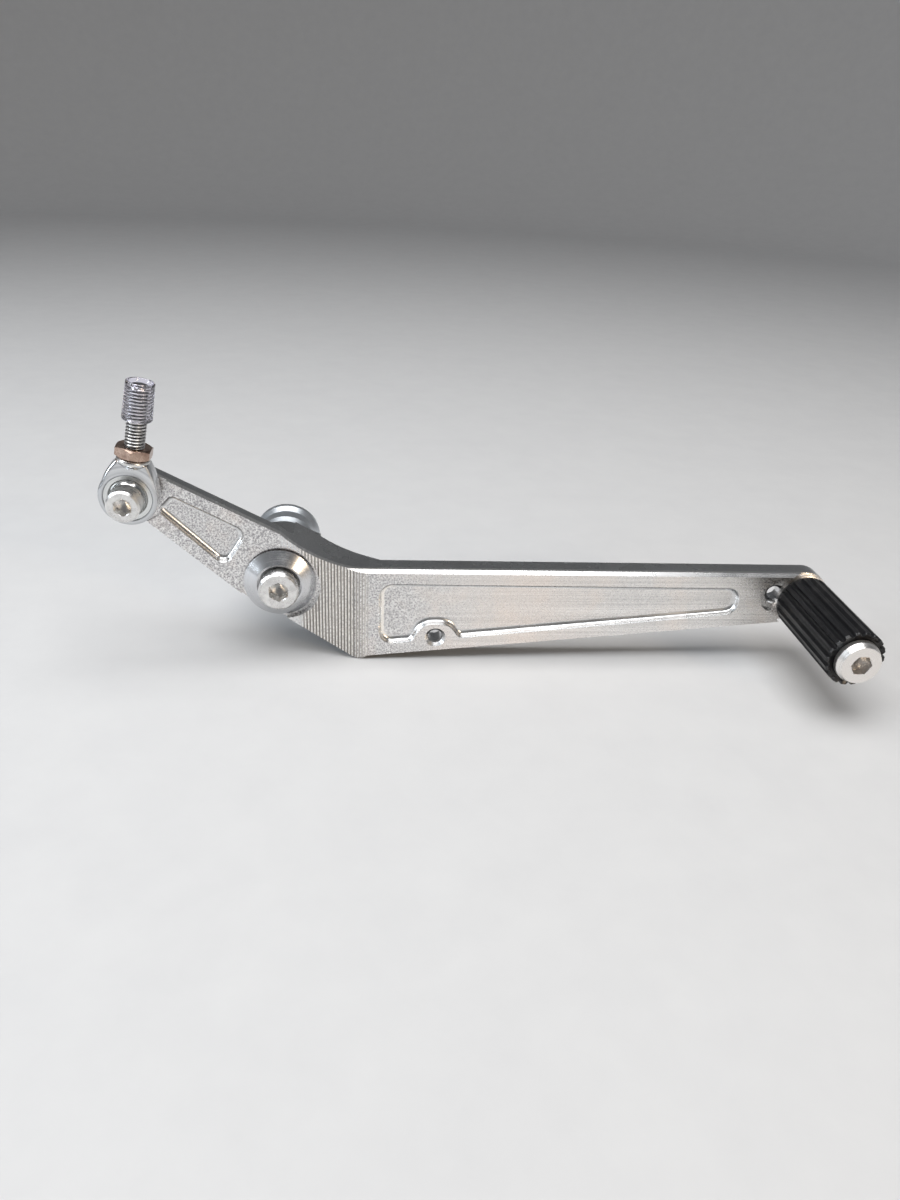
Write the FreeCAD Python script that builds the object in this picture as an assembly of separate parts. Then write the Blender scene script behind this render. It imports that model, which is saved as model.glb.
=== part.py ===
"""Billet gear-shift lever for a motorcycle rearset: arm, pivot stack, rod end and toe peg.

Millimetres, +Z up. The origin is on the pivot axis, in the mounting face of the rear spacer.
+Y points inboard, towards the machine, so every piece lies at negative Y except the end of the
pivot screw. +X runs along the arm towards the toe peg.
"""
import FreeCAD, Part
import math
import os

Vector = FreeCAD.Vector

# ---- levels along the pivot axis (Y) ----
MOUNT_Y = 0.0                  # mounting face of the rear spacer
HUB_REAR_Y = -23.3             # rear face of the pivot hub
PLATE_REAR_Y = -34.4           # rear face of the short arm's plate
PLATE_FRONT_Y = -40.4          # front face of the short arm's plate
BEAM_REAR_Y = -37.9            # rear face of the long arm
BEAM_FRONT_Y = -45.9           # front face of the long arm
SPOT_FLOOR_Y = -39.4           # floor of the spot faces at the pivot and at the rod end
PEG_FLOOR_Y = -43.9            # floor of the spot face under the toe peg

# ---- places in the X-Z plane ----
ROD_X, ROD_Z = -43.5, 31.8     # rod end axis
PEG_X, PEG_Z = 178.7, -4.1     # toe peg axis
SPARE_X, SPARE_Z = 169.0, -2.2     # second tapped hole for the peg
STOP_X, STOP_Z = 51.6, -17.9       # tapped hole beside the long pocket
END_X, END_Z, END_R = 178.7, -2.7, 8.8     # rounded end of the long arm

# ---- side view of the arm, as (X, Z) points ----
SHORT_END = [(-47.2, 27.8), (-49.0, 35.9), (-39.9, 38.6)]      # rounded end of the short arm
ELBOW_TOP = [(0.5, 17.5), (12.5, 10.3), (27.0, 7.35)]          # short arm's back into the long arm
ELBOW_BOTTOM = [(28.6, -24.9), (25.3, -25.9), (22.9, -25.1)]   # rounded lower corner
KNEE = (-10.3, -6.1)                                           # lower edge changes slope here
BEAM_TAPER = 0.0886                                            # slope of the long arm's lower edge
OUTLINE_MIN_Z, OUTLINE_MAX_Z = -40.0, 60.0                     # levels that clear the outline
OUTLINE_MIN_X, OUTLINE_MAX_X = -60.0, 210.0
HUB_WEB = [(8.0, 30.0), (215.0, 30.0), (215.0, -45.0), (-2.0, -45.0), (-2.0, -14.0)]

# ---- plan view of the arm ----
FLUTE_PITCH = 1.04             # step between passes of the ball cutter on the ramp
FLUTE_COUNT = 23
FLUTE_DEPTH = 0.15
RAMP_START_X = 0.5
RAMP_RISE = 5.0                # how far the fluted ramp comes outboard
ROLL_COUNT = 5                 # finer passes where the ramp rolls over to the long arm
ROLL_PITCH = 0.9
ROLL_DEPTH = 0.05
REAR_RAMP_X = (13.0, 33.0)     # where the thick hub thins to the long arm, behind
REAR_RAMP_STEP = 2.0           # short wall at the top of that ramp

# ---- features of the arm ----
EDGE_CHAMFER = 1.1             # long arm's top front edge
EDGE_START_X = 10.0
HUB_R = 14.6
PIVOT_SPOT_R = 13.2
ROD_SPOT_R = 10.8
PEG_SPOT_R = 10.5
SPARE_SPOT_R = 6.0
POCKET_DEPTH = 2.2
POCKET_FILLET = 1.8
RIM_CHAMFER = 0.25
M6_TAP_R = 2.5
M6_R = 3.0
TAP_CHAMFER = 1.0
LONG_POCKET = [(32.6, 2.2, 4.6), (32.6, -20.4, 4.4), (43.4, -19.4, 2.4), (46.8, -12.6, 6.2),
               (56.2, -12.6, 6.2), (59.6, -18.0, 2.6), (155.6, -8.8, 4.4), (155.6, 0.7, 4.4)]
SHORT_POCKET = [(-37.0, 25.4, 1.9), (-32.4, 30.2, 2.2), (-9.4, 18.0, 3.6), (-17.2, 5.8, 3.0)]

# ---- pivot stack ----
M8_R = 4.0
M8_THREAD_R = 3.95             # crest of the thread, just under the shank
M6_THREAD_R = 2.95
RELIEF_SHARE, RELIEF_W = 0.84, 1.5     # run-out groove between a screw's shank and its thread
M8_CLEARANCE_R = 4.2
M8_HEAD_R, M8_HEAD_H, M8_HEX = 6.5, 8.0, 6.0
M8_LENGTH = 55.0
COLLAR_R, COLLAR_NOSE_R, COLLAR_HUB_R = 11.7, 7.8, 7.9
COLLAR_NOSE_Y = -43.1
COLLAR_RIM_Y = -40.4
COLLAR_BACK_Y = -39.9
COUNTERBORE_R = 7.2
HEAD_SEAT_Y = -39.3
BEARING_BORE_R, BEARING_R, BEARING_W = 4.0, 8.0, 5.0
FRONT_BEARING_Y = -37.9        # front face of the front ball bearing
REAR_BEARING_Y = -28.7         # front face of the rear ball bearing
BALL_R, BALL_PITCH_R, BALL_COUNT = 1.19, 6.0, 11
RACE_CLEARANCE = 0.04
CAGE_HALF_W, CAGE_HALF_WALL = 1.5, 0.35
OUTER_LAND_R, INNER_LAND_R = 7.05, 4.95
SHIELD_T, SHIELD_Y, SHIELD_GAP = 0.25, 2.0, 0.15
SPACER_R = (9.6, 10.5, 11.6)   # stepped rear spacer, front to back
SPACER_STEP_Y = (-11.3, -9.3, -4.3, -2.3)
LAND_R = 5.4                   # lands that touch only a bearing's inner ring
LAND_GAP = 0.4                 # how far other faces stay clear of a bearing
BORE_GAP = 0.3                 # how far the arm's bore stays clear of what turns in it

# ---- rod end ----
ROD_BALL_R, ROD_BALL_W = 6.35, 9.0
ROD_CENTRE_Y = SPOT_FLOOR_Y - ROD_BALL_W / 2
EYE_R, EYE_W, EYE_BORE_R, EYE_CHAMFER = 8.9, 6.75, 7.1, 0.9
EYE_TAPER_TOP, EYE_TAPER_HALF_W = 11.3, 5.1     # the eye's sides run straight up to here
ROD_RACE_W, ROD_RACE_CLEARANCE = 6.0, 0.05
ROD_RACE_MOUTH_R, ROD_RACE_MOUTH_DEPTH = 6.0, 1.0
STUD_LEAN = 11.3               # degrees from +Z towards +X
NECK_R, NECK_TOP, NECK_CHAMFER = 4.9, 12.3, 0.6
NECK_FLARE_START, NECK_FLARE_END = 8.6, 10.9
STUD_TOP, STUD_CHAMFER = 34.5, 0.8
NUT_AF, NUT_H, NUT_BOTTOM = 10.0, 3.2, 12.6
NUT_FACE_SHARE = 0.97          # washer-face diameter as a share of the width across flats
NUT_CHAMFER_ANGLE = 30.0
SLEEVE_BOTTOM, SLEEVE_TOP = 24.0, 35.5
SLEEVE_BOTTOM_R, SLEEVE_TOP_R = 4.45, 4.15
M6_HEAD_R, M6_HEAD_H, M6_HEX = 5.0, 6.0, 5.0
M6_LENGTH = 20.0
RUN_CLEARANCE = 0.05

# ---- toe peg ----
PEG_FLANGE_R, PEG_FLANGE_T = 9.2, 1.8
PEG_RUBBER_R = 9.5
PEG_RUBBER_END_Y = -83.9
PEG_CORE_R = 6.0
PEG_CAP_R, PEG_FACE_R = 7.1, 6.3
PEG_CAP_Y, PEG_FACE_Y = -85.5, -87.5
PEG_HEX, PEG_HEX_DEPTH = 6.0, 8.0

# ---- small features that several pieces share ----
MARGIN = 1.0                   # how far a cutter runs past the face that it opens
CHAMFER = 0.4
SOCKET_SHARE = 0.55            # depth of a screw's socket as a share of its head
SOCKET_MOUTH_SHARE = 1.05      # socket's mouth as a share of its width across flats
TOLERANCE = 1e-6

ACROSS = Vector(1, 0, 0)
INBOARD = Vector(0, 1, 0)
OUTBOARD = Vector(0, -1, 0)
UP = Vector(0, 0, 1)

os.makedirs("parts", exist_ok=True)


def save(name, solids):
    """Writes one sub-part, a single solid or a group of separate solids."""
    shape = solids[0] if len(solids) == 1 else Part.makeCompound(solids)
    shape.exportStep("parts/%s.step" % name)
    print(name, shape.isValid(), len(shape.Solids), round(shape.Volume, 2))


def cylinder(x, z, radius, y0, y1):
    """Cylinder about an axis along Y, between two levels."""
    return Part.makeCylinder(radius, y1 - y0, Vector(x, y0, z), INBOARD)


def tube(x, z, bore_r, radius, y0, y1):
    """Tube about an axis along Y, between two levels."""
    return cylinder(x, z, radius, y0, y1).cut(cylinder(x, z, bore_r, y0 - MARGIN, y1 + MARGIN))


def cone(x, z, r0, y0, r1, y1):
    """Cone about an axis along Y, of radius r0 at y0 and r1 at y1."""
    return Part.makeCone(r0, r1, y1 - y0, Vector(x, y0, z), INBOARD)


def turned(x, z, profile):
    """Solid of revolution about an axis along Y, from closed (radius, y) points."""
    points = [Vector(x + r, y, z) for r, y in profile + profile[:1]]
    return Part.Face(Part.makePolygon(points)).revolve(Vector(x, 0, z), INBOARD, 360)


def hexagon(across_flats, height, base, axis, first):
    """Hexagonal prism whose first corner lies along a given direction."""
    side = axis.cross(first)
    radius = across_flats / math.sqrt(3)
    corners = []
    for i in range(7):
        angle = math.radians(60 * i)
        corners.append(base + first * (radius * math.cos(angle)) + side * (radius * math.sin(angle)))
    return Part.Face(Part.makePolygon(corners)).extrude(axis * height)


def outline(edges):
    """Closed face from straight (2 points) and curved (3 points) edges in the X-Z plane."""
    made = []
    for points in edges:
        vectors = [Vector(x, 0, z) for x, z in points]
        if len(vectors) == 2:
            made.append(Part.makeLine(vectors[0], vectors[1]))
        else:
            made.append(Part.Arc(vectors[0], vectors[1], vectors[2]).toShape())
    return Part.Face(Part.Wire(made))


def slab(face, y0, y1):
    """A face of the X-Z plane as a solid between two levels."""
    moved = face.copy()
    moved.translate(Vector(0, y0, 0))
    return moved.extrude(Vector(0, y1 - y0, 0))


def polygon(points):
    """Closed face from straight edges in the X-Z plane."""
    return outline([[points[i - 1], points[i]] for i in range(len(points))])


def rounded_polygon(corners):
    """Closed face from (x, z, radius) corners: straight edges joined by tangent arcs."""
    count = len(corners)
    arcs = []
    for i in range(count):
        x, z, radius = corners[i]
        here = Vector(x, 0, z)
        back = Vector(corners[i - 1][0], 0, corners[i - 1][1]) - here
        ahead = Vector(corners[(i + 1) % count][0], 0, corners[(i + 1) % count][1]) - here
        back.normalize()
        ahead.normalize()
        half = math.acos(back.dot(ahead)) / 2
        reach = radius / math.tan(half)
        middle = (back + ahead).normalize() * (radius / math.sin(half) - radius)
        arcs.append((here + back * reach, here + middle, here + ahead * reach))
    edges = []
    for i in range(count):
        edges.append(Part.Arc(*arcs[i]).toShape())
        edges.append(Part.makeLine(arcs[i][2], arcs[(i + 1) % count][0]))
    return Part.Face(Part.Wire(edges))


def arm_outline():
    """Side view of the whole lever."""
    end_angle = math.atan(BEAM_TAPER)
    end_top = (END_X, END_Z + END_R)
    end_bottom = (END_X + END_R * math.sin(end_angle), END_Z - END_R * math.cos(end_angle))
    return outline([
        SHORT_END,
        [SHORT_END[-1], ELBOW_TOP[0]],
        ELBOW_TOP,
        [ELBOW_TOP[-1], end_top],
        [end_top, (END_X + END_R, END_Z), end_bottom],
        [end_bottom, ELBOW_BOTTOM[0]],
        ELBOW_BOTTOM,
        [ELBOW_BOTTOM[-1], KNEE],
        [KNEE, SHORT_END[0]],
    ])


def scallops(start, finish, count, depth, ease):
    """Row of small hollow arcs between two points of the plan view, and where it ends."""
    edges = []
    here = start
    for i in range(1, count + 1):
        share = i / count
        rise = math.sin(share * math.pi / 2) if ease else share
        there = Vector(start.x + (finish.x - start.x) * share, start.y + (finish.y - start.y) * rise, start.z)
        middle = (here + there) * 0.5 + INBOARD * depth
        edges.append(Part.Arc(here, middle, there).toShape())
        here = there
    return edges, here


def plan_solid():
    """Plan view of the lever: fluted ramp in front, plain ramp behind, as a tall prism."""
    def point(x, y):
        return Vector(x, y, OUTLINE_MIN_Z)

    foot = point(RAMP_START_X, PLATE_FRONT_Y)
    shoulder = point(RAMP_START_X + FLUTE_COUNT * FLUTE_PITCH, PLATE_FRONT_Y - RAMP_RISE)
    edges, here = scallops(foot, shoulder, FLUTE_COUNT, FLUTE_DEPTH, False)
    top = point(here.x + ROLL_COUNT * ROLL_PITCH, BEAM_FRONT_Y)
    rolled, here = scallops(here, top, ROLL_COUNT, ROLL_DEPTH, True)
    edges += rolled
    corners = [here, point(OUTLINE_MAX_X, BEAM_FRONT_Y), point(OUTLINE_MAX_X, BEAM_REAR_Y),
               point(REAR_RAMP_X[1], BEAM_REAR_Y), point(REAR_RAMP_X[0], HUB_REAR_Y - REAR_RAMP_STEP),
               point(REAR_RAMP_X[0], HUB_REAR_Y), point(OUTLINE_MIN_X, HUB_REAR_Y),
               point(OUTLINE_MIN_X, PLATE_FRONT_Y), foot]
    for first, second in zip(corners, corners[1:]):
        edges.append(Part.makeLine(first, second))
    return Part.Face(Part.Wire(edges)).extrude(UP * (OUTLINE_MAX_Z - OUTLINE_MIN_Z))


def pocket_cutter(corners, front_y):
    """Cutter for a shallow pocket, with a filleted floor."""
    floor_y = front_y + POCKET_DEPTH
    tool = slab(rounded_polygon(corners), front_y - MARGIN, floor_y)
    floor = [e for e in tool.Edges if all(abs(v.Y - floor_y) < TOLERANCE for v in e.Vertexes)]
    return tool.makeFillet(POCKET_FILLET, floor)


def break_rim(body, corners, front_y):
    """Chamfers the rim that a pocket leaves in a front face."""
    rim_face = slab(rounded_polygon(corners), front_y - TOLERANCE, front_y + TOLERANCE)
    rim = []
    for edge in body.Edges:
        middle = edge.valueAt((edge.FirstParameter + edge.LastParameter) / 2)
        on_front = all(abs(v.Y - front_y) < TOLERANCE for v in edge.Vertexes)
        if on_front and rim_face.distToShape(Part.Vertex(middle))[0] < RIM_CHAMFER / 2:
            rim.append(edge)
    return body.makeChamfer(RIM_CHAMFER, rim)


def tapped_hole(x, z, front_y, rear_y):
    """Cutter for a through hole with a countersunk mouth."""
    hole = cylinder(x, z, M6_TAP_R, front_y - MARGIN, rear_y + MARGIN)
    mouth = cone(x, z, M6_TAP_R + TAP_CHAMFER, front_y, M6_TAP_R, front_y + TAP_CHAMFER)
    back = cone(x, z, M6_TAP_R, rear_y - CHAMFER, M6_TAP_R + CHAMFER, rear_y)
    return hole.fuse([mouth, back])


def edge_chamfer():
    """Cutter that breaks the long arm's top front edge and its rounded end."""
    finish = Vector(END_X, BEAM_FRONT_Y, END_Z + END_R)
    elbow_x, elbow_z = ELBOW_TOP[-1]
    slope = (finish.z - elbow_z) / (finish.x - elbow_x)
    start = Vector(EDGE_START_X, BEAM_FRONT_Y, elbow_z + slope * (EDGE_START_X - elbow_x))
    triangle = [Vector(0, EDGE_CHAMFER, 0), Vector(0, -MARGIN, -EDGE_CHAMFER - MARGIN),
                Vector(0, -MARGIN, MARGIN), Vector(0, EDGE_CHAMFER, MARGIN), Vector(0, EDGE_CHAMFER, 0)]
    along = Part.Face(Part.makePolygon([start + v for v in triangle])).extrude(finish - start)
    end_face = Part.Face(Part.makePolygon([finish + v for v in triangle]))
    around = end_face.revolve(Vector(END_X, 0, END_Z), INBOARD, 180)
    return along.fuse(around)


def lever_arm():
    """The arm, machined from one billet."""
    above = BEAM_FRONT_Y - MARGIN
    blank = slab(arm_outline(), above, HUB_REAR_Y).common(plan_solid())
    thick = slab(polygon(HUB_WEB), PLATE_REAR_Y, MOUNT_Y)
    thick = thick.fuse(cylinder(0, 0, HUB_R, PLATE_REAR_Y, MOUNT_Y))
    behind = slab(polygon([(OUTLINE_MIN_X, OUTLINE_MIN_Z), (OUTLINE_MIN_X, OUTLINE_MAX_Z),
                           (OUTLINE_MAX_X, OUTLINE_MAX_Z), (OUTLINE_MAX_X, OUTLINE_MIN_Z)]),
                  PLATE_REAR_Y, MOUNT_Y)
    body = blank.cut(behind.cut(thick))
    body = body.cut(edge_chamfer())
    for pocket, front_y in ((LONG_POCKET, BEAM_FRONT_Y), (SHORT_POCKET, PLATE_FRONT_Y)):
        body = body.cut(pocket_cutter(pocket, front_y))
        body = break_rim(body, pocket, front_y)
    body = body.cut([
        cylinder(0, 0, PIVOT_SPOT_R, above, SPOT_FLOOR_Y),
        cylinder(ROD_X, ROD_Z, ROD_SPOT_R, above, SPOT_FLOOR_Y),
        cylinder(PEG_X, PEG_Z, PEG_SPOT_R, above, PEG_FLOOR_Y),
        cylinder(SPARE_X, SPARE_Z, SPARE_SPOT_R, above, PEG_FLOOR_Y),
    ])
    body = body.cut([
        tapped_hole(STOP_X, STOP_Z, BEAM_FRONT_Y, BEAM_REAR_Y),
        tapped_hole(SPARE_X, SPARE_Z, PEG_FLOOR_Y, BEAM_REAR_Y),
        cylinder(PEG_X, PEG_Z, M6_R, PEG_FLOOR_Y - MARGIN, BEAM_REAR_Y + MARGIN),
        cylinder(ROD_X, ROD_Z, M6_R, SPOT_FLOOR_Y - MARGIN, PLATE_REAR_Y + MARGIN),
    ])
    front_end = FRONT_BEARING_Y + BEARING_W
    return body.cut([
        cylinder(0, 0, COLLAR_HUB_R + BORE_GAP, SPOT_FLOOR_Y - MARGIN, FRONT_BEARING_Y),
        cylinder(0, 0, BEARING_R, FRONT_BEARING_Y - MARGIN, front_end),
        cylinder(0, 0, OUTER_LAND_R + BORE_GAP, front_end - MARGIN, REAR_BEARING_Y + MARGIN),
        cylinder(0, 0, BEARING_R, REAR_BEARING_Y, HUB_REAR_Y + MARGIN),
    ])


def hex_socket(x, z, across_flats, front_y, depth, first):
    """Cutter for a hexagon socket with a chamfered mouth and a drilled bottom."""
    mouth_r = across_flats / 2 * SOCKET_MOUTH_SHARE
    base = Vector(x, front_y - MARGIN, z)
    prism = hexagon(across_flats, depth + MARGIN, base, INBOARD, first)
    mouth = cone(x, z, mouth_r + CHAMFER, front_y - CHAMFER, mouth_r - CHAMFER, front_y + CHAMFER)
    bottom_y = front_y + depth
    drill = cone(x, z, across_flats / 2, bottom_y, 0.0, bottom_y + across_flats / 4)
    return prism.fuse([mouth, drill])


def socket_screw(x, z, seat_y, shank, head, length):
    """Socket-head cap screw whose head points to -Y and whose shank runs to +Y."""
    head_r, head_h, across_flats = head
    radius, thread_r, thread_y = shank
    front = seat_y - head_h
    soft = 1.5 * CHAMFER
    cap = turned(x, z, [(0, front), (head_r - soft, front), (head_r, front + soft),
                        (head_r, seat_y), (0, seat_y)])
    tip = seat_y + length
    point = 2 * CHAMFER
    relief_r, relief_y = radius * RELIEF_SHARE, thread_y - RELIEF_W
    bolt = turned(x, z, [(0, seat_y - MARGIN), (radius, seat_y - MARGIN), (radius, relief_y),
                         (relief_r, relief_y), (relief_r, thread_y), (thread_r, thread_y),
                         (thread_r, tip - point), (thread_r - point, tip), (0, tip)])
    return cap.fuse(bolt).cut(hex_socket(x, z, across_flats, front, head_h * SOCKET_SHARE, UP))


def front_collar():
    """Conical collar that covers the front bearing and takes the pivot screw's head."""
    land_y = FRONT_BEARING_Y - LAND_GAP
    return turned(0, 0, [
        (M8_CLEARANCE_R, HEAD_SEAT_Y), (COUNTERBORE_R, HEAD_SEAT_Y), (COUNTERBORE_R, COLLAR_NOSE_Y),
        (COLLAR_NOSE_R, COLLAR_NOSE_Y), (COLLAR_R, COLLAR_RIM_Y), (COLLAR_R, COLLAR_BACK_Y),
        (COLLAR_HUB_R, COLLAR_BACK_Y), (COLLAR_HUB_R, land_y), (LAND_R, land_y),
        (LAND_R, FRONT_BEARING_Y), (M8_CLEARANCE_R, FRONT_BEARING_Y),
    ])


def rear_spacer():
    """Stepped spacer between the hub and the machine."""
    small, middle, large = SPACER_R
    step = SPACER_STEP_Y
    start = REAR_BEARING_Y + BEARING_W
    shoulder = HUB_REAR_Y + LAND_GAP
    return turned(0, 0, [
        (M8_CLEARANCE_R, start), (LAND_R, start), (LAND_R, shoulder), (small - CHAMFER, shoulder),
        (small, shoulder + CHAMFER), (small, step[0]), (middle, step[1]), (middle, step[2]),
        (large, step[3]), (large, MOUNT_Y - CHAMFER), (large - CHAMFER, MOUNT_Y),
        (M8_CLEARANCE_R, MOUNT_Y),
    ])


def bearing(name, front_y):
    """Shielded ball bearing, 8 x 16 x 5, as its own pieces."""
    centre = front_y + BEARING_W / 2
    back = front_y + BEARING_W
    groove = Part.makeTorus(BALL_PITCH_R, BALL_R + RACE_CLEARANCE, Vector(0, centre, 0), INBOARD)
    balls, pockets = [], []
    for i in range(BALL_COUNT):
        angle = 2 * math.pi * i / BALL_COUNT
        outward = Vector(math.cos(angle), 0, math.sin(angle))
        hub = Vector(0, centre, 0)
        balls.append(Part.makeSphere(BALL_R, hub + outward * BALL_PITCH_R))
        pockets.append(Part.makeCylinder(BALL_R + RACE_CLEARANCE, BEARING_R, hub, outward))
    cage = tube(0, 0, BALL_PITCH_R - CAGE_HALF_WALL, BALL_PITCH_R + CAGE_HALF_WALL,
                centre - CAGE_HALF_W, centre + CAGE_HALF_W)
    shields = []
    for y in (centre - SHIELD_Y - SHIELD_T, centre + SHIELD_Y):
        shields.append(tube(0, 0, INNER_LAND_R + SHIELD_GAP, OUTER_LAND_R, y, y + SHIELD_T))
    save(name + "_outer_ring", [tube(0, 0, OUTER_LAND_R, BEARING_R, front_y, back).cut(groove)])
    save(name + "_inner_ring", [tube(0, 0, BEARING_BORE_R, INNER_LAND_R, front_y, back).cut(groove)])
    save(name + "_balls", balls)
    save(name + "_cage", cage.cut(pockets).Solids)
    save(name + "_shields", shields)


def along_stud(distance):
    """Point on the stud's axis at a distance from the rod end's centre."""
    return Vector(ROD_X, ROD_CENTRE_Y, ROD_Z) + STUD_AXIS * distance


def stud_cylinder(radius, start, finish):
    """Cylinder about the stud's axis, between two distances from the rod end's centre."""
    return Part.makeCylinder(radius, finish - start, along_stud(start), STUD_AXIS)


def stud_cone(r0, start, r1, finish):
    """Cone about the stud's axis, between two distances from the rod end's centre."""
    return Part.makeCone(r0, r1, finish - start, along_stud(start), STUD_AXIS)


def eye_blank(front, back):
    """Eye without its bore: a round end whose sides taper in to the neck, with broken edges."""
    reach = math.hypot(EYE_TAPER_HALF_W, EYE_TAPER_TOP)
    turn = math.atan2(EYE_TAPER_TOP, EYE_TAPER_HALF_W) - math.acos(EYE_R / reach)
    touch = (EYE_R * math.cos(turn), EYE_R * math.sin(turn))
    drop = []
    for x, z in (touch, (0.0, -EYE_R), (-touch[0], touch[1]), (-EYE_TAPER_HALF_W, EYE_TAPER_TOP),
                 (EYE_TAPER_HALF_W, EYE_TAPER_TOP)):
        drop.append((ROD_X + x, ROD_Z + z))
    upright = slab(outline([drop[:3], drop[2:4], drop[3:], [drop[4], drop[0]]]), front, back)
    flat_edges = [e for e in upright.Edges if abs(e.Vertexes[0].Y - e.Vertexes[-1].Y) < TOLERANCE]
    softened = upright.makeChamfer(EYE_CHAMFER, flat_edges)
    softened.rotate(Vector(ROD_X, 0, ROD_Z), INBOARD, STUD_LEAN)
    return softened


def rod_end_housing():
    """Eye, neck and stud in one piece; the bore takes the race."""
    half = EYE_W / 2
    front, back = ROD_CENTRE_Y - half, ROD_CENTRE_Y + half
    eye = eye_blank(front, back)
    root = stud_cylinder(half, 0, NECK_FLARE_START)
    flare = stud_cone(half, NECK_FLARE_START, NECK_R, NECK_FLARE_END)
    neck = stud_cylinder(NECK_R, NECK_FLARE_END, NECK_TOP - NECK_CHAMFER)
    shoulder = stud_cone(NECK_R, NECK_TOP - NECK_CHAMFER, NECK_R - NECK_CHAMFER, NECK_TOP)
    stud = stud_cylinder(M6_R, 0, STUD_TOP - STUD_CHAMFER)
    point = stud_cone(M6_R, STUD_TOP - STUD_CHAMFER, M6_R - STUD_CHAMFER, STUD_TOP)
    body = eye.fuse([root, flare, neck, shoulder, stud, point])
    return body.cut(cylinder(ROD_X, ROD_Z, EYE_BORE_R, front - MARGIN, back + MARGIN))


def rod_end_race():
    """Spherical race pressed into the eye."""
    front, back = ROD_CENTRE_Y - ROD_RACE_W / 2, ROD_CENTRE_Y + ROD_RACE_W / 2
    inner_r = ROD_RACE_MOUTH_R - ROD_RACE_MOUTH_DEPTH
    return cylinder(ROD_X, ROD_Z, EYE_BORE_R, front, back).cut([
        Part.makeSphere(ROD_BALL_R + ROD_RACE_CLEARANCE, Vector(ROD_X, ROD_CENTRE_Y, ROD_Z)),
        cone(ROD_X, ROD_Z, ROD_RACE_MOUTH_R, front, inner_r, front + ROD_RACE_MOUTH_DEPTH),
        cone(ROD_X, ROD_Z, inner_r, back - ROD_RACE_MOUTH_DEPTH, ROD_RACE_MOUTH_R, back),
    ])


def rod_end_ball():
    """Bored ball, clamped to the arm by its screw."""
    front, back = ROD_CENTRE_Y - ROD_BALL_W / 2, ROD_CENTRE_Y + ROD_BALL_W / 2
    ball = Part.makeSphere(ROD_BALL_R, Vector(ROD_X, ROD_CENTRE_Y, ROD_Z))
    return ball.common(tube(ROD_X, ROD_Z, M6_R, ROD_BALL_R + MARGIN, front, back))


def nut(base, axis, first, bore_r):
    """Thin hexagon nut with both faces chamfered."""
    crest = NUT_AF / math.sqrt(3)
    flat_r = NUT_AF / 2 * NUT_FACE_SHARE
    bevel = (crest - flat_r) * math.tan(math.radians(NUT_CHAMFER_ANGLE))
    top = base + axis * (NUT_H - bevel)
    round_body = Part.makeCone(flat_r, crest, bevel, base, axis).fuse([
        Part.makeCylinder(crest, NUT_H - 2 * bevel, base + axis * bevel, axis),
        Part.makeCone(crest, flat_r, bevel, top, axis),
    ])
    bore = Part.makeCylinder(bore_r, NUT_H + 2 * MARGIN, base - axis * MARGIN, axis)
    return hexagon(NUT_AF, NUT_H, base, axis, first).common(round_body).cut(bore)


def thread_sleeve():
    """Clear sleeve that protects the stud's thread."""
    outer = stud_cone(SLEEVE_BOTTOM_R, SLEEVE_BOTTOM, SLEEVE_TOP_R, SLEEVE_TOP)
    return outer.cut(stud_cylinder(M6_R + RUN_CLEARANCE, SLEEVE_BOTTOM - MARGIN, SLEEVE_TOP + MARGIN))


def peg_core():
    """Turned toe-peg pin: threaded spigot, flange, core and chamfered end cap with a hex socket."""
    flange_y = PEG_FLOOR_Y - PEG_FLANGE_T
    core = turned(PEG_X, PEG_Z, [
        (0, BEAM_REAR_Y), (M6_R - CHAMFER, BEAM_REAR_Y), (M6_R, BEAM_REAR_Y - CHAMFER),
        (M6_R, PEG_FLOOR_Y), (PEG_FLANGE_R - CHAMFER, PEG_FLOOR_Y),
        (PEG_FLANGE_R, PEG_FLOOR_Y - CHAMFER), (PEG_FLANGE_R, flange_y), (PEG_CORE_R, flange_y),
        (PEG_CORE_R, PEG_RUBBER_END_Y), (PEG_CAP_R, PEG_RUBBER_END_Y), (PEG_CAP_R, PEG_CAP_Y),
        (PEG_FACE_R, PEG_FACE_Y), (0, PEG_FACE_Y),
    ])
    return core.cut(hex_socket(PEG_X, PEG_Z, PEG_HEX, PEG_FACE_Y, PEG_HEX_DEPTH, ACROSS))


def peg_rubber():
    """Rubber sleeve of the toe peg, as a plain tube."""
    return tube(PEG_X, PEG_Z, PEG_CORE_R, PEG_RUBBER_R, PEG_RUBBER_END_Y, PEG_FLOOR_Y - PEG_FLANGE_T)


lean = math.radians(STUD_LEAN)
STUD_AXIS = Vector(math.sin(lean), 0, math.cos(lean))
PIVOT_HEAD = (M8_HEAD_R, M8_HEAD_H, M8_HEX)
PIVOT_SHANK = (M8_R, M8_THREAD_R, MOUNT_Y)
ROD_HEAD = (M6_HEAD_R, M6_HEAD_H, M6_HEX)
ROD_SHANK = (M6_R, M6_THREAD_R, PLATE_REAR_Y + NUT_H)
ROD_NUT_BASE = Vector(ROD_X, PLATE_REAR_Y, ROD_Z)

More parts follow.
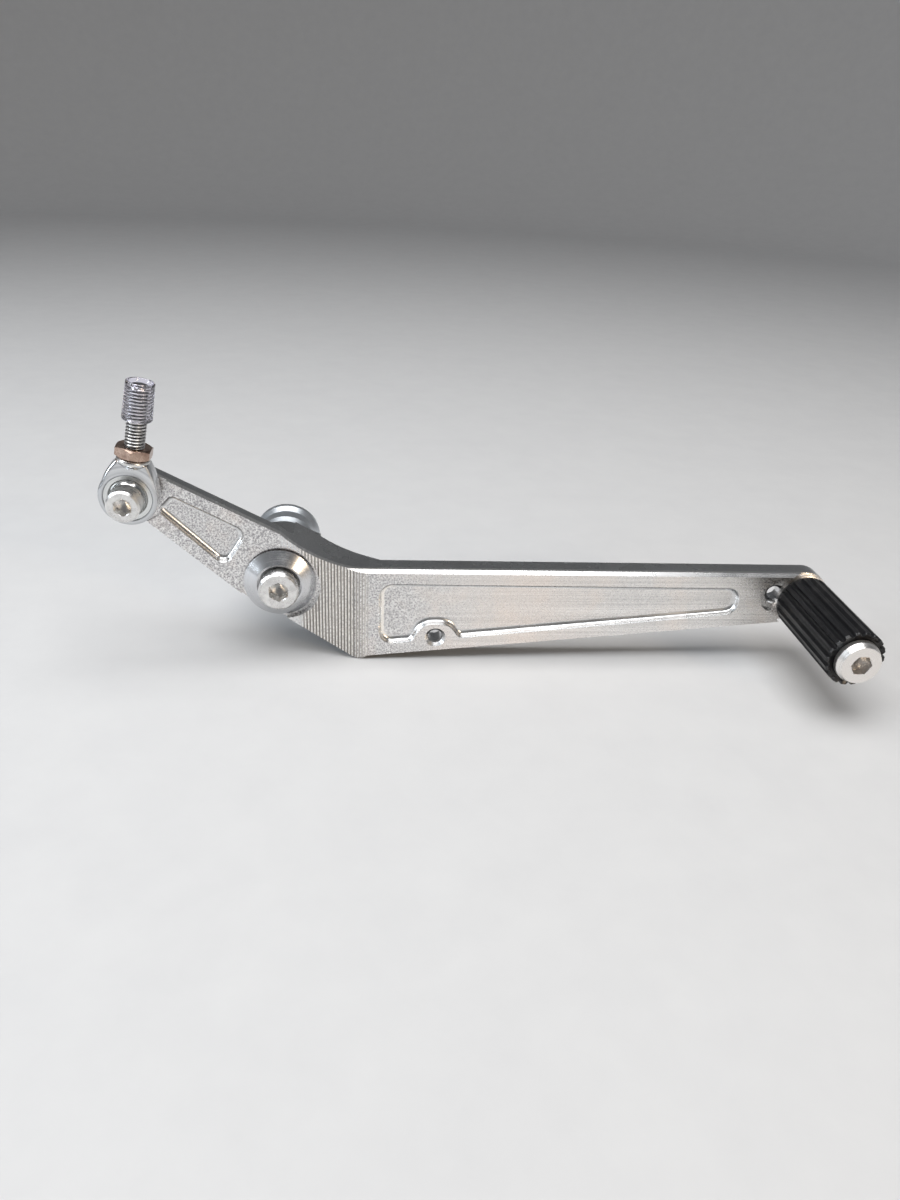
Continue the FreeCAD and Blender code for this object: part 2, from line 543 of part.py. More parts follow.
save("lever_arm", [lever_arm()])
save("pivot_screw", [socket_screw(0, 0, HEAD_SEAT_Y, PIVOT_SHANK, PIVOT_HEAD, M8_LENGTH)])
save("front_collar", [front_collar()])
save("rear_spacer", [rear_spacer()])
bearing("front_bearing", FRONT_BEARING_Y)
bearing("rear_bearing", REAR_BEARING_Y)
save("bearing_spacer", [tube(0, 0, M8_CLEARANCE_R, LAND_R, FRONT_BEARING_Y + BEARING_W, REAR_BEARING_Y)])
save("rod_end_screw", [socket_screw(ROD_X, ROD_Z, SPOT_FLOOR_Y - ROD_BALL_W, ROD_SHANK, ROD_HEAD, M6_LENGTH)])
save("rod_end_ball", [rod_end_ball()])
save("rod_end_lock_nut", [nut(ROD_NUT_BASE, INBOARD, UP, M6_R)])
save("rod_end_housing", [rod_end_housing()])
save("rod_end_race", [rod_end_race()])
save("jam_nut", [nut(along_stud(NUT_BOTTOM), STUD_AXIS, OUTBOARD, M6_R + RUN_CLEARANCE)])
save("thread_sleeve", [thread_sleeve()])
save("peg_core", [peg_core()])
save("peg_rubber", [peg_rubber()])
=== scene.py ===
import math

import bmesh
import bpy
from mathutils import Matrix, Vector


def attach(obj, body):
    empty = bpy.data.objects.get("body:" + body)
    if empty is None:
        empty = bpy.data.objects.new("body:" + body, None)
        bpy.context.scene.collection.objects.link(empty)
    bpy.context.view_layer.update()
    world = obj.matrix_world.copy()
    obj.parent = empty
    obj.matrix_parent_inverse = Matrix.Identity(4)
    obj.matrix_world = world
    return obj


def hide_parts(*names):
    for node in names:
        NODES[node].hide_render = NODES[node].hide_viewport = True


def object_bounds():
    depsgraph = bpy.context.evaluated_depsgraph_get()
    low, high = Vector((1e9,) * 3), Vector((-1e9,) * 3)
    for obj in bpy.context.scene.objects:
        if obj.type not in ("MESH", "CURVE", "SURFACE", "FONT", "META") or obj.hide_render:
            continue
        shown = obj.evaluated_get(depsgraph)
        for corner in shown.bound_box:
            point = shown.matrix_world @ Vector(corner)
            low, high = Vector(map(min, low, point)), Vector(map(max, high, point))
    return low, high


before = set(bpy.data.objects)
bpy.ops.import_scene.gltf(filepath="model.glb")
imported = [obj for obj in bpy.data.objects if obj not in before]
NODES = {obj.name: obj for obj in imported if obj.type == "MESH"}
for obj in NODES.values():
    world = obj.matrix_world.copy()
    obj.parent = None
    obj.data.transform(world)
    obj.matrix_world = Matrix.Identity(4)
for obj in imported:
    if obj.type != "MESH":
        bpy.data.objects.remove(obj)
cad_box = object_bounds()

MM = 0.001
SCENE = bpy.context.scene

# ---- places and directions that the CAD part gives, in millimetres ----
ROD = Vector((-43.5, -43.9, 31.8))
LEAN = math.radians(11.3)
STUD = Vector((math.sin(LEAN), 0.0, math.cos(LEAN)))
PEG = Vector((178.7, 0.0, -4.1))
ORIGIN = Vector((0.0, 0.0, 0.0))
INBOARD = Vector((0, 1, 0))
OUTBOARD = Vector((0, -1, 0))


# ---------------------------------------------------------------- node helpers
def material(name):
    """New node material: returns it with its tree and its Principled shader."""
    made = bpy.data.materials.new(name)
    made.use_nodes = True
    return made, made.node_tree, made.node_tree.nodes["Principled BSDF"]


def node(tree, kind, inputs=None, **settings):
    """Adds a shader node, sets it up and links or sets its inputs."""
    made = tree.nodes.new(kind)
    for key, value in settings.items():
        setattr(made, key, value)
    for key, value in (inputs or {}).items():
        if isinstance(value, bpy.types.NodeSocket):
            tree.links.new(value, made.inputs[key])
        else:
            made.inputs[key].default_value = value
    return made


def place(tree):
    """Position on the object, in metres, in the row frame at rest."""
    return node(tree, "ShaderNodeTexCoord").outputs["Object"]


def stretched(tree, vector, scale):
    """A coordinate scaled by three numbers."""
    return node(tree, "ShaderNodeMapping", {"Vector": vector, "Scale": scale}).outputs["Vector"]


def noise(tree, vector, scale, detail=2.0, rough=0.5):
    return node(tree, "ShaderNodeTexNoise", {"Vector": vector, "Scale": scale, "Detail": detail,
                                             "Roughness": rough}).outputs["Fac"]


def remap(tree, value, low, high, to_low, to_high):
    """Maps a value's range to another one, clamped."""
    return node(tree, "ShaderNodeMapRange", {"Value": value, "From Min": low, "From Max": high,
                                             "To Min": to_low, "To Max": to_high}).outputs["Result"]


def maths(tree, operation, first, second=0.0):
    return node(tree, "ShaderNodeMath", {0: first, 1: second}, operation=operation).outputs[0]


def mix(tree, factor, first, second):
    """Mix of two colours."""
    made = node(tree, "ShaderNodeMix", data_type="RGBA")
    for key, value in ((0, factor), (6, first), (7, second)):
        if isinstance(value, bpy.types.NodeSocket):
            tree.links.new(value, made.inputs[key])
        else:
            made.inputs[key].default_value = value
    return made.outputs[2]


def bump(tree, height, strength, distance, normal=None):
    inputs = {"Height": height, "Strength": strength, "Distance": distance}
    if normal is not None:
        inputs["Normal"] = normal
    return node(tree, "ShaderNodeBump", inputs).outputs["Normal"]


# ------------------------------------------------------------------- materials
# places on the arm, in metres: each pair is where a mask starts and ends
RAMP_X, RAMP_FRONT_Y = (0.0005, 0.0245), (-0.0404, -0.0459)   # the front face steps out along the ramp
# where the painted light and shade across the ramp's flutes starts and ends
PAINTED_FLUTES_FROM_X, PAINTED_FLUTES_TO_X = (0.006, 0.008), (0.036, 0.038)
BEAM_X = (0.030, 0.060)
# depth behind the front face past which ledges that face up get painted shade
SHADED_LEDGE_DEPTH = (0.0021, 0.0026)
# where the painted warm glow rises and falls along the arm
PAINTED_GLOW_RISE_X, PAINTED_GLOW_FALL_X = (0.050, 0.078), (0.085, 0.115)


def arm_material():
    """Machined billet aluminium: sparkling satin flats, fine cutter lines, polished fillets; painted shade on
    ledges that face up and on walls that face down, painted light and shade across the ramp's flutes, and a
    painted warm glow along the middle of the beam.
    """
    made, tree, shader = material("machined_billet")
    where = place(tree)
    normal = node(tree, "ShaderNodeNewGeometry").outputs["Normal"]
    parts = node(tree, "ShaderNodeSeparateXYZ", {0: normal})
    spans = node(tree, "ShaderNodeSeparateXYZ", {0: where})
    # masks: flat faces, depth behind the front face, and ledges and edges that face up, which get painted
    # shade
    facing = maths(tree, "ABSOLUTE", parts.outputs["Y"])
    flat = remap(tree, facing, 0.985, 0.999, 0.0, 1.0)
    front = remap(tree, spans.outputs["X"], *RAMP_X, *RAMP_FRONT_Y)
    depth = maths(tree, "SUBTRACT", spans.outputs["Y"], front)
    shaded_ledge_mask = maths(tree, "MULTIPLY", remap(tree, parts.outputs["Z"], 0.55, 0.80, 0.0, 1.0),
                   remap(tree, depth, *SHADED_LEDGE_DEPTH, 0.0, 1.0))
    # noise fields: speckle of the blasted skin, cloudy patches, and cutter lines along the arm
    grains = noise(tree, where, 1700.0, 3.0, 0.72)
    patches = noise(tree, where, 70.0, 3.0, 0.6)
    lines = noise(tree, stretched(tree, where, (14.0, 14.0, 2600.0)), 1.0, 3.0, 0.7)
    beam = remap(tree, spans.outputs["X"], *BEAM_X, 0.0, 1.0)
    rough_flat = remap(tree, grains, 0.35, 0.65, 0.20, 0.40)
    rough_side = remap(tree, patches, 0.3, 0.7, 0.20, 0.32)
    rough = node(tree, "ShaderNodeMix", {0: flat, 2: rough_side, 3: rough_flat}).outputs[0]
    tint = mix(tree, remap(tree, grains, 0.40, 0.60, 0.0, 1.0),
               (0.38, 0.37, 0.38, 1), (1.0, 0.99, 0.98, 1))
    milled = mix(tree, remap(tree, lines, 0.35, 0.65, 0.0, 1.0),
                 (0.70, 0.69, 0.68, 1), (1.0, 0.98, 0.96, 1))
    even = mix(tree, maths(tree, "MULTIPLY", beam, 0.75), tint, milled)
    # painted warm glow: a warm tint in random cloudy patches, plus a painted warm reflection in a band along
    # the middle of the beam
    painted_glow_band = maths(tree, "MULTIPLY", remap(tree, spans.outputs["X"], *PAINTED_GLOW_RISE_X, 0.0, 1.0),
                   remap(tree, spans.outputs["X"], *PAINTED_GLOW_FALL_X, 1.0, 0.0))
    patches_and_painted_glow = maths(tree, "ADD", remap(tree, patches, 0.48, 0.70, 0.0, 0.30),
                 maths(tree, "MULTIPLY", painted_glow_band, 0.35))
    warm = mix(tree, patches_and_painted_glow, even, (1.0, 0.86, 0.76, 1))
    side_tint = mix(tree, remap(tree, lines, 0.3, 0.7, 0.0, 1.0),
                    (0.62, 0.62, 0.63, 1), (0.90, 0.90, 0.89, 1))
    # painted shade: ledges and edges that face up, deep behind the front face, are painted a darker grey
    painted_ledge_shade = mix(tree, remap(tree, grains, 0.3, 0.7, 0.0, 1.0),
                   (0.40, 0.41, 0.42, 1), (0.54, 0.55, 0.56, 1))
    around = mix(tree, shaded_ledge_mask, side_tint, painted_ledge_shade)
    # painted light and shade across the ramp's flutes: the side of each flute that faces +X is painted
    # bright, the side that faces -X dark
    painted_flute_mask = maths(tree, "MULTIPLY", remap(tree, spans.outputs["X"], *PAINTED_FLUTES_FROM_X, 0.0, 1.0),
                   remap(tree, facing, 0.60, 0.75, 0.0, 1.0))
    painted_flute_mask = maths(tree, "MULTIPLY", painted_flute_mask, remap(tree, spans.outputs["X"], *PAINTED_FLUTES_TO_X, 1.0, 0.0))
    painted_flute_light = remap(tree, parts.outputs["X"], -0.40, 0.10, 0.0, 1.0)
    around = mix(tree, painted_flute_mask, around, mix(tree, painted_flute_light, (0.22, 0.205, 0.19, 1), (1.0, 0.96, 0.90, 1)))
    # painted shade: walls that face down are painted near black
    painted_shade_under = remap(tree, parts.outputs["Z"], -0.60, -0.15, 1.0, 0.0)
    around = mix(tree, painted_shade_under, around, (0.17, 0.17, 0.17, 1))
    tree.links.new(mix(tree, flat, around, warm), shader.inputs["Base Color"])
    tree.links.new(rough, shader.inputs["Roughness"])
    grain_bump = bump(tree, grains, remap(tree, flat, 0.0, 1.0, 0.05, 0.55), 0.00009)
    line_strength = remap(tree, maths(tree, "MULTIPLY", beam, flat), 0.0, 1.0, 0.0, 0.25)
    line_bump = bump(tree, lines, line_strength, 0.00002, grain_bump)
    tree.links.new(line_bump, shader.inputs["Normal"])
    shader.inputs["Metallic"].default_value = 1.0
    return made


def turned_material(name, centre, colour, dark, rough_low, rough_high, pitch=5200.0):
    """Turned metal: fine rings about an axis along Y, with faint stains."""
    made, tree, shader = material(name)
    shift = tuple(-c * MM for c in centre)
    where = node(tree, "ShaderNodeMapping", {"Vector": place(tree), "Location": shift})
    parts = node(tree, "ShaderNodeSeparateXYZ", {0: where.outputs["Vector"]})
    flat_x = maths(tree, "MULTIPLY", parts.outputs["X"], parts.outputs["X"])
    flat_z = maths(tree, "MULTIPLY", parts.outputs["Z"], parts.outputs["Z"])
    radius = maths(tree, "SQRT", maths(tree, "ADD", flat_x, flat_z))
    along = node(tree, "ShaderNodeCombineXYZ", {"X": radius, "Y": parts.outputs["Y"]}).outputs[0]
    rings = noise(tree, along, pitch, 3.0, 0.7)
    stains = noise(tree, place(tree), 220.0, 3.0, 0.6)
    tint = mix(tree, remap(tree, rings, 0.3, 0.7, 0.0, 1.0), dark, colour)
    tree.links.new(tint, shader.inputs["Base Color"])
    spread = maths(tree, "ADD", remap(tree, rings, 0.3, 0.7, rough_low, rough_high),
                   remap(tree, stains, 0.5, 0.8, 0.0, 0.10))
    tree.links.new(spread, shader.inputs["Roughness"])
    tree.links.new(bump(tree, rings, 0.22, 0.00002), shader.inputs["Normal"])
    shader.inputs["Metallic"].default_value = 1.0
    return made


def plated_material(name, colour, dark, rough_low, rough_high):
    """Plated steel: soft mottling in the plate and tiny pits."""
    made, tree, shader = material(name)
    where = place(tree)
    cloud = noise(tree, where, 420.0, 4.0, 0.62)
    pits = noise(tree, where, 4200.0, 2.0, 0.6)
    tint = mix(tree, remap(tree, cloud, 0.35, 0.65, 0.0, 1.0), dark, colour)
    tree.links.new(tint, shader.inputs["Base Color"])
    tree.links.new(remap(tree, cloud, 0.35, 0.7, rough_low, rough_high), shader.inputs["Roughness"])
    tree.links.new(bump(tree, pits, 0.18, 0.00002), shader.inputs["Normal"])
    shader.inputs["Metallic"].default_value = 1.0
    return made


def rubber_material():
    """Moulded black rubber with a satin skin and a little dust in its pores."""
    made, tree, shader = material("moulded_rubber")
    where = place(tree)
    skin = noise(tree, where, 1500.0, 4.0, 0.6)
    dust = noise(tree, where, 160.0, 5.0, 0.65)
    tint = mix(tree, remap(tree, dust, 0.52, 0.78, 0.0, 1.0),
               (0.008, 0.008, 0.009, 1), (0.026, 0.025, 0.024, 1))
    tree.links.new(tint, shader.inputs["Base Color"])
    tree.links.new(remap(tree, skin, 0.3, 0.7, 0.26, 0.42), shader.inputs["Roughness"])
    tree.links.new(bump(tree, skin, 0.25, 0.00004), shader.inputs["Normal"])
    return made


def clear_material():
    """Clear soft vinyl with a violet cast and light scuffs."""
    made, tree, shader = material("clear_vinyl")
    where = place(tree)
    scuffs = noise(tree, stretched(tree, where, (900.0, 900.0, 260.0)), 1.0, 3.0, 0.6)
    edge = node(tree, "ShaderNodeLayerWeight", {"Blend": 0.30}).outputs["Facing"]
    tree.links.new(remap(tree, scuffs, 0.45, 0.75, 0.02, 0.10), shader.inputs["Roughness"])
    tree.links.new(bump(tree, scuffs, 0.06, 0.00003), shader.inputs["Normal"])
    tint = mix(tree, remap(tree, edge, 0.3, 0.9, 0.0, 1.0), (0.90, 0.88, 0.98, 1), (0.56, 0.52, 0.80, 1))
    tree.links.new(tint, shader.inputs["Base Color"])
    shader.inputs["Transmission Weight"].default_value = 1.0
    shader.inputs["IOR"].default_value = 1.48
    return made


ARM = arm_material()
TURNED = turned_material("turned_aluminium", ORIGIN, (0.80, 0.80, 0.81, 1), (0.58, 0.59, 0.61, 1), 0.16, 0.28)
PEG_METAL = turned_material("turned_peg", PEG, (0.96, 0.94, 0.92, 1), (0.80, 0.77, 0.74, 1), 0.24, 0.34)
SPACER = turned_material("turned_spacer", ORIGIN, (0.72, 0.75, 0.78, 1), (0.50, 0.53, 0.56, 1), 0.30, 0.42)
EYE = turned_material("eye_zinc", ROD, (0.86, 0.87, 0.88, 1), (0.42, 0.43, 0.45, 1), 0.16, 0.26, 620.0)
RACE = turned_material("race_steel", ROD, (0.92, 0.93, 0.92, 1), (0.62, 0.63, 0.63, 1), 0.14, 0.26, 2400.0)
ZINC = plated_material("zinc_plate", (0.90, 0.89, 0.87, 1), (0.68, 0.67, 0.66, 1), 0.25, 0.33)
# dark plate laid on the thread's roots as painted shade
PAINTED_ROOT_SHADE = plated_material("painted_root_shade", (0.22, 0.22, 0.22, 1), (0.12, 0.12, 0.12, 1), 0.34, 0.48)
BEARING = plated_material("ground_steel", (0.62, 0.62, 0.61, 1), (0.46, 0.47, 0.46, 1), 0.12, 0.22)
COPPERY = plated_material("coppery_plate", (0.50, 0.37, 0.30, 1), (0.27, 0.18, 0.14, 1), 0.18, 0.30)
BRASS = plated_material("cage_brass", (0.72, 0.56, 0.26, 1), (0.55, 0.42, 0.20, 1), 0.22, 0.34)
RUBBER = rubber_material()
VINYL = clear_material()


# --------------------------------------------------------------- mesh helpers
def add_mesh(name, points, faces, body, finish, sharp=38.0):
    """Adds a piece from points in millimetres, rides it on a body and gives it a material."""
    data = bpy.data.meshes.new(name)
    data.from_pydata([tuple(c * MM for c in point) for point in points], [], faces)
    shape = bmesh.new()
    shape.from_mesh(data)
    bmesh.ops.remove_doubles(shape, verts=shape.verts, dist=1e-7)
    bmesh.ops.recalc_face_normals(shape, faces=shape.faces)
    shape.to_mesh(data)
    shape.free()
    data.shade_smooth()
    data.set_sharp_from_angle(angle=math.radians(sharp))
    data.materials.append(finish)
    made = bpy.data.objects.new(name, data)
    SCENE.collection.objects.link(made)
    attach(made, body)
    return made


def basis(axis, first):
    """Two directions square to an axis, the first of them near a given one."""
    across = (first - axis * first.dot(axis)).normalized()
    return across, axis.cross(across)


def grid_faces(rows, columns, start=0):
    """Quads of a tube of points, closed round each row."""
    faces = []
    for i in range(rows - 1):
        for j in range(columns):
            k = (j + 1) % columns
            faces.append((start + i * columns + j, start + i * columns + k,
                          start + (i + 1) * columns + k, start + (i + 1) * columns + j))
    return faces


def lathe(base, axis, first, profile, columns, start=0):
    """Points and faces of a profile of (radius, height) turned about an axis."""
    across, side = basis(axis, first)
    points = []
    for radius, height in profile:
        for j in range(columns):
            angle = 2 * math.pi * j / columns
            points.append(base + axis * height + (across * math.cos(angle) + side * math.sin(angle)) * radius)
    return points, grid_faces(len(profile), columns, start)


def rounded(profile, radius, steps=5):
    """Rounds the inner corners of an open profile of (radius, height) points."""
    made = [profile[0]]
    for a, b, c in zip(profile, profile[1:], profile[2:]):
        a, b, c = Vector(a), Vector(b), Vector(c)
        reach = min(radius, (a - b).length * 0.45, (c - b).length * 0.45)
        p, q = b + (a - b).normalized() * reach, b + (c - b).normalized() * reach
        for i in range(steps + 1):
            t = i / steps
            made.append(tuple(p * (1 - t) ** 2 + b * 2 * t * (1 - t) + q * t * t))
    made.append(profile[-1])
    return made


THREAD_COLUMNS, ROWS_PER_TURN = 48, 10
FLANK_STEEPNESS, ROOT_WIDTH = 1.35, 0.12
LAST_TURN_DEPTH = 0.35                   # share of the thread left at the free end
POINT_LENGTH, POINT_TAPER = 0.8, 0.75    # cone at the free end


def helix_thread(base, axis, first, start, finish, major, minor, pitch, start_index):
    """A real screw thread: crests and roots that climb one pitch in each turn, fading out at both ends."""
    across, side = basis(axis, first)
    columns = THREAD_COLUMNS
    count = int((finish - start) / pitch * ROWS_PER_TURN) + 1
    points = []
    for i in range(count + 1):
        height = start + (finish - start) * i / count
        fade = min(1.0, (height - start) / pitch, (finish - height) / pitch + LAST_TURN_DEPTH)
        for j in range(columns):
            turn = j / columns
            phase = (height / pitch - turn) % 1.0
            wave = min(1.0, max(0.0, FLANK_STEEPNESS * (1 - abs(2 * phase - 1)) - ROOT_WIDTH))
            radius = minor + (major - minor) * (1 - fade * (1 - wave))
            radius -= max(0.0, (height - finish + POINT_LENGTH)) * POINT_TAPER
            angle = 2 * math.pi * turn
            points.append(base + axis * height + (across * math.cos(angle) + side * math.sin(angle)) * radius)
    faces = grid_faces(count + 1, columns, start_index)
    last = start_index + count * columns
    faces.append(tuple(last + j for j in range(columns)))
    return points, faces


# ------------------------------------------------------------ ribbed toe rubber
RIBS, RIB_SAMPLES = 18, 14
SLEEVE_START, SLEEVE_RUN, SLEEVE_ROWS = -46.6, 36.4, 24   # the straight run of the ribs along Y
VALLEY_R, RIB_HEIGHT, GROOVE_DIP = 8.35, 1.15, 0.10
RIB_SHARE, RIB_EDGE = 1.9, 0.10          # how wide and how square a rib is
# rows of (y, share of the rib's height, or else a fixed radius)
ROOT_ROWS = [
    (-45.9, 0.0, 6.1), (-45.75, 0.0, 7.9), (-45.75, 0.60, 0.0), (-46.0, 0.90, 0.0), (-46.6, 1.0, 0.0),
]
CAP_ROWS = [
    (-83.6, 0.94, 0.0), (-83.88, 0.70, 0.0), (-83.5, 0.0, 8.15), (-83.3, 0.0, 7.9), (-83.3, 0.0, 6.1),
]


def toe_rubber():
    """Moulded sleeve with lengthwise ribs whose ends stand out as teeth at both rims."""
    columns = RIBS * RIB_SAMPLES
    run = [(SLEEVE_START - SLEEVE_RUN * i / SLEEVE_ROWS, 1.0, 0.0) for i in range(1, SLEEVE_ROWS + 1)]
    rows = ROOT_ROWS + run + CAP_ROWS
    points = []
    for y, share, fixed in rows:
        for j in range(columns):
            angle = 2 * math.pi * j / columns
            phase = (j % RIB_SAMPLES) / RIB_SAMPLES
            wave = 0.5 - 0.5 * math.cos(2 * math.pi * phase)
            crest = min(1.0, max(0.0, (wave - RIB_EDGE) * RIB_SHARE))
            crest = crest * crest * (3 - 2 * crest)
            dip = GROOVE_DIP * max(0.0, 1 - abs(phase - 0.5) * 10)
            radius = VALLEY_R + (RIB_HEIGHT * crest - dip) * share if fixed == 0.0 else fixed
            points.append(Vector((PEG.x + radius * math.sin(angle), y, PEG.z + radius * math.cos(angle))))
    faces = grid_faces(len(rows), columns)
    made = add_mesh("toe_peg_rubber", points, faces, "lever", RUBBER, 60.0)
    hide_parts("peg_rubber")


# -------------------------------------------------------------------- rod end
EYE_R, EYE_HALF, EYE_BORE, EYE_MOUTH = 8.9, 3.375, 7.1, 7.35
MOUTH_DEPTH = 3.1                        # half width of the plain bore between its two mouths
EYE_INSET, EYE_ROUNDING, EYE_ROUND_STEPS = 1.3, 1.1, 6
DROP_TOP, DROP_HALF, DROP_BULGE = 11.3, 4.8, 0.45
EYE_STEPS, SIDE_STEPS = 72, 8
# neck: (radius, height above the ball's centre) up to the thread
NECK = [(3.0, 8.6), (3.3, 9.2), (4.3, 10.2), (4.9, 10.9), (4.9, 11.8), (4.45, 12.3), (2.6, 12.3)]
THREAD_START, THREAD_END, THREAD_PITCH = 12.2, 34.5, 1.0
CREST_R, ROOT_R = 2.98, 2.42
# the eye's finish ends at the first height; past the second, faces within the radius get painted shade in the
# thread's roots
EYE_FINISH_TOP, ROOT_SHADE_FROM, ROOT_SHADE_R = 11.0, 12.6, 2.68


def drop_outline():
    """Round end whose sides run straight in to the neck, as (across, along, normal) in the stud's plane."""
    reach = math.hypot(DROP_HALF, DROP_TOP)
    turn = math.atan2(DROP_TOP, DROP_HALF) - math.acos(EYE_R / reach)
    made = []
    for i in range(EYE_STEPS + 1):
        angle = turn - (math.pi + 2 * turn) * i / EYE_STEPS
        made.append((EYE_R * math.cos(angle), EYE_R * math.sin(angle), math.cos(angle), math.sin(angle)))
    low_x, low_z, nx, nz = made[-1]
    for i in range(1, SIDE_STEPS + 1):
        share = i / SIDE_STEPS
        swell = DROP_BULGE * math.sin(math.pi * share)
        made.append((low_x + (-DROP_HALF - low_x) * share + nx * swell,
                     low_z + (DROP_TOP - low_z) * share + nz * swell, nx, nz))
    for i in range(1, SIDE_STEPS):
        share = i / SIDE_STEPS
        blend = math.sin((share - 0.5) * math.pi)
        made.append((-DROP_HALF + 2 * DROP_HALF * share, DROP_TOP, nx * -blend, 1.0))
    high_x, high_z, nx, nz = made[0]
    for i in range(SIDE_STEPS):
        share = i / SIDE_STEPS
        swell = DROP_BULGE * math.sin(math.pi * share)
        made.append((DROP_HALF + (high_x - DROP_HALF) * share + nx * swell,
                     DROP_TOP + (high_z - DROP_TOP) * share + nz * swell, nx, nz))
    return made


def rod_end():
    """Forged eye, necked shank and rolled M6 thread."""
    across = STUD.cross(INBOARD) * -1
    rim = drop_outline()
    sections = []
    for i in range(EYE_ROUND_STEPS + 1):
        angle = math.pi / 2 * i / EYE_ROUND_STEPS
        sections.append((EYE_INSET * (1 - math.sin(angle)), EYE_HALF - EYE_ROUNDING * (1 - math.cos(angle))))
    levels = [(inset, -depth) for inset, depth in sections]
    levels += [(inset, depth) for inset, depth in sections[::-1]]
    points, faces = [], []
    count = len(rim)
    for inset, depth in levels:
        for x, z, nx, nz in rim:
            points.append(ROD + across * (x - nx * inset) + STUD * (z - nz * inset) + Vector((0, depth, 0)))
    faces += grid_faces(len(levels), count)
    bore = [(EYE_MOUTH, -EYE_HALF), (EYE_BORE, -MOUTH_DEPTH), (EYE_BORE, MOUTH_DEPTH), (EYE_MOUTH, EYE_HALF)]
    start = len(points)
    for radius, depth in bore:
        for x, z, nx, nz in rim:
            length = math.hypot(x, z)
            points.append(ROD + (across * x + STUD * z) * (radius / length) + Vector((0, depth, 0)))
    faces += grid_faces(len(bore), count, start)
    last = start + (len(bore) - 1) * count
    for j in range(count):
        k = (j + 1) % count
        faces.append((j, start + j, start + k, k))
        faces.append(((len(levels) - 1) * count + j, (len(levels) - 1) * count + k, last + k, last + j))
    more_points, more_faces = lathe(ROD, STUD, OUTBOARD, rounded(NECK, 0.5, 3), 64, len(points))
    points += more_points
    faces += more_faces
    more_points, more_faces = helix_thread(ROD, STUD, OUTBOARD, THREAD_START, THREAD_END, CREST_R, ROOT_R,
                                           THREAD_PITCH, len(points))
    points += more_points
    faces += more_faces
    made = add_mesh("rod_end_body", points, faces, "rod_end", ZINC, 32.0)
    made.data.materials.append(PAINTED_ROOT_SHADE)
    made.data.materials.append(EYE)
    # eye faces get the eye's finish; faces in the thread's roots get painted shade
    for polygon in made.data.polygons:
        offset = polygon.center / MM - ROD
        height = offset.dot(STUD)
        if height < EYE_FINISH_TOP:
            polygon.material_index = 2
        elif height > ROOT_SHADE_FROM and (offset - STUD * height).length < ROOT_SHADE_R:
            polygon.material_index = 1
    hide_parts("rod_end_housing")


# sleeve: (radius, height above the ball's centre), up the outside and down the bore
SLEEVE = [
    (2.52, 24.3), (3.4, 24.05), (4.40, 24.1), (4.42, 24.6), (4.30, 29.0), (4.22, 33.0), (4.15, 35.0),
    (4.02, 35.45), (3.6, 35.5), (3.35, 35.3), (3.15, 34.6), (2.52, 33.7), (2.52, 24.3),
]
SLEEVE_CUT_HEIGHT, SKEWED_LENGTH, CUT_SLOPE = 24.0, 3.0, 0.035   # its lower end is cut out of square


def clear_sleeve():
    """Short length of clear tube pushed over the thread, cut a little out of square."""
    points, faces = lathe(ROD, STUD, OUTBOARD, rounded(SLEEVE, 0.25, 3), 72)
    centre = ROD + STUD * SLEEVE_CUT_HEIGHT
    for i, point in enumerate(points):
        height = (point - centre).dot(STUD)
        low = max(0.0, 1 - height / SKEWED_LENGTH)
        points[i] = point + STUD * (low * CUT_SLOPE * (point - centre).dot(Vector((1, 0, 0))))
    made = add_mesh("clear_thread_sleeve", points, faces, "thread_sleeve", VINYL, 50.0)
    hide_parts("thread_sleeve")


toe_rubber()
rod_end()
clear_sleeve()

# ------------------------------------------- finishes of the CAD nodes that stay
FINISH = {
    "lever_arm": ARM,
    "pivot_screw": ZINC, "front_collar": TURNED, "rear_spacer": SPACER, "bearing_spacer": TURNED,
    "rod_end_screw": ZINC, "rod_end_ball": BEARING, "rod_end_lock_nut": ZINC, "rod_end_race": RACE,
    "jam_nut": COPPERY, "peg_core": PEG_METAL,
}
for place_name in ("front", "rear"):
    for piece in ("outer_ring", "inner_ring", "balls", "shields"):
        FINISH["%s_bearing_%s" % (place_name, piece)] = BEARING
    FINISH[place_name + "_bearing_cage"] = BRASS
for name, finish in FINISH.items():
    data = NODES[name].data
    data.materials.clear()
    data.materials.append(finish)

# ------------------------------------------------------------ floor and backdrop
# metres: gap under the lowest point, then the bowl's level radius, its curve and its wall
FLOOR_GAP = 0.0004
BOWL_REACH, BOWL_CURVE, BOWL_TOP = 1.35, 0.55, 1.6
BOWL_COLUMNS, BOWL_STEPS = 96, 16


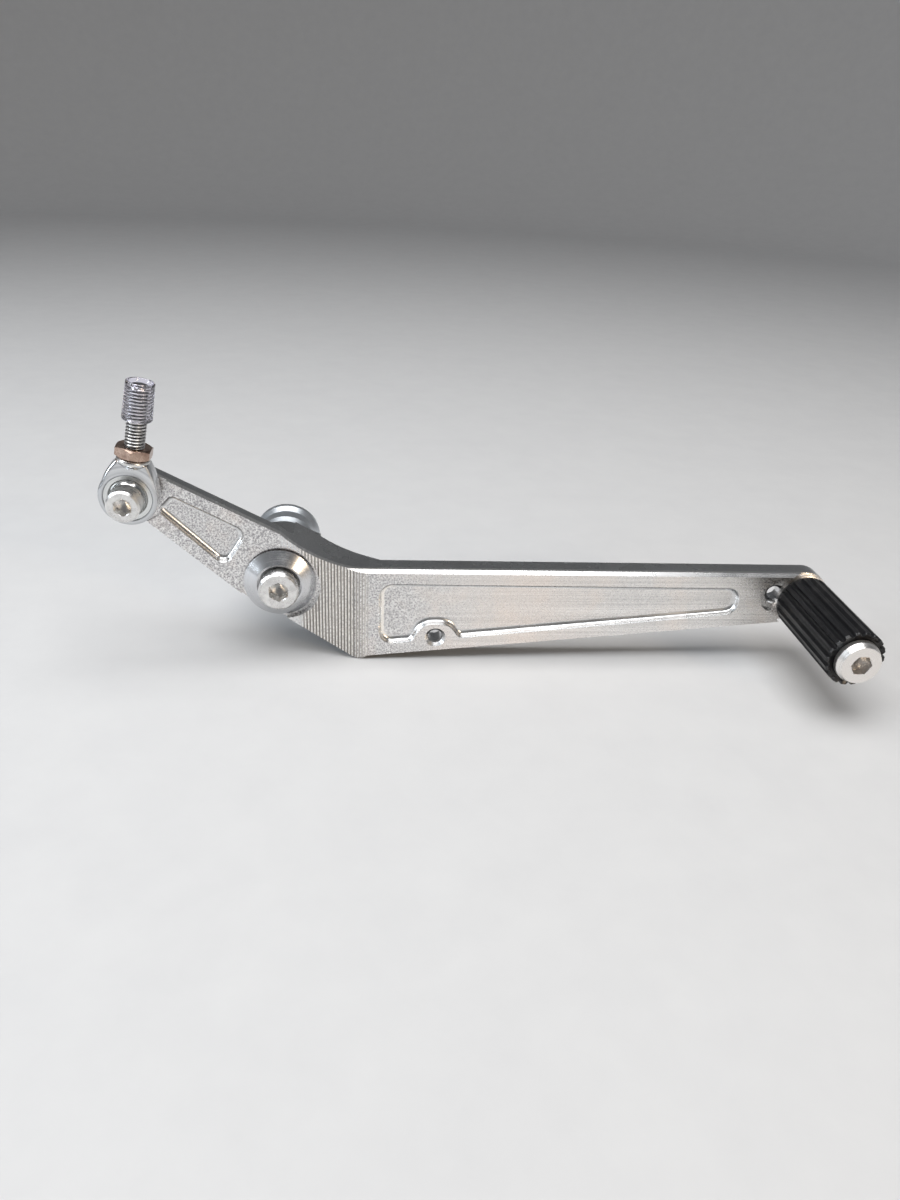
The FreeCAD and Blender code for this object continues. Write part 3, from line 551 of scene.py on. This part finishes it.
def backdrop():
    """Pale round bowl: level floor that curves up into a low wall all round."""
    ground = cad_box[0].z - FLOOR_GAP
    profile = [(0.25, ground), (0.80, ground), (BOWL_REACH, ground)]
    for i in range(1, BOWL_STEPS + 1):
        angle = math.pi / 2 * i / BOWL_STEPS
        rise = BOWL_CURVE * (1 - math.cos(angle))
        profile.append((BOWL_REACH + BOWL_CURVE * math.sin(angle), ground + rise))
    profile.append((BOWL_REACH + BOWL_CURVE, ground + BOWL_TOP))
    points = [(0.0, 0.0, ground)]
    for radius, height in profile:
        for i in range(BOWL_COLUMNS):
            angle = 2 * math.pi * i / BOWL_COLUMNS
            points.append((radius * math.cos(angle), radius * math.sin(angle), height))
    faces = grid_faces(len(profile), BOWL_COLUMNS, 1)
    faces += [(0, 1 + (i + 1) % BOWL_COLUMNS, 1 + i) for i in range(BOWL_COLUMNS)]
    data = bpy.data.meshes.new("studio_sweep")
    data.from_pydata(points, [], faces)
    data.shade_smooth()
    finish, tree, shader = material("pale_paper")
    fibre = noise(tree, place(tree), 60.0, 4.0, 0.6)
    paper = mix(tree, fibre, (0.60, 0.60, 0.605, 1), (0.66, 0.66, 0.66, 1))
    tree.links.new(paper, shader.inputs["Base Color"])
    shader.inputs["Roughness"].default_value = 0.75
    data.materials.append(finish)
    made = bpy.data.objects.new("studio_sweep", data)
    SCENE.collection.objects.link(made)


backdrop()

# ----------------------------------------------------------------------- lights
def soft_light(name, spot, target, size, power, colour=(1, 1, 1)):
    """Rectangular soft light that faces a point: metres and watts."""
    data = bpy.data.lights.new(name, "AREA")
    data.shape = "RECTANGLE"
    data.size, data.size_y = size
    data.energy = power
    data.color = colour
    made = bpy.data.objects.new(name, data)
    made.location = spot
    made.rotation_mode = "QUATERNION"
    made.rotation_quaternion = (Vector(target) - Vector(spot)).to_track_quat("-Z", "Y")
    SCENE.collection.objects.link(made)


soft_light("overhead", (-0.03, -0.16, 0.95), (0.05, -0.16, 0.0), (0.80, 1.10), 10.5)
soft_light("left_window", (-0.75, -0.30, 0.40), (0.05, -0.03, 0.0), (0.16, 0.60), 3.6, (0.86, 0.93, 1.0))
soft_light("right_warm", (0.72, -0.80, 0.32), (0.05, -0.03, 0.0), (0.16, 0.34), 2.6, (1.0, 0.80, 0.58))

world = bpy.data.worlds.new("studio_world")
world.use_nodes = True
world.node_tree.nodes["Background"].inputs["Color"].default_value = (0.46, 0.48, 0.51, 1)
world.node_tree.nodes["Background"].inputs["Strength"].default_value = 0.30
SCENE.world = world

# ----------------------------------------------------------------------- camera
CAMERA_PLACE = Vector((25.4, -308.2, 136.9))   # millimetres
CAMERA_LENS, CAMERA_SENSOR = 36.04, 36.0
RIGHT = Vector((0.9948, -0.0900, 0.0482))
UP = Vector((0.0, 0.4719, 0.8816))
BACK = RIGHT.cross(UP)
camera_data = bpy.data.cameras.new("camera")
camera_data.sensor_fit = "HORIZONTAL"
camera_data.sensor_width = CAMERA_SENSOR
camera_data.lens = CAMERA_LENS
camera_data.clip_start = 0.01
camera = bpy.data.objects.new("camera", camera_data)
turn = Matrix((RIGHT, UP, BACK)).transposed().to_4x4()
camera.matrix_world = Matrix.Translation(CAMERA_PLACE * MM) @ turn
SCENE.collection.objects.link(camera)
SCENE.camera = camera
SCENE.view_settings.view_transform = "Standard"
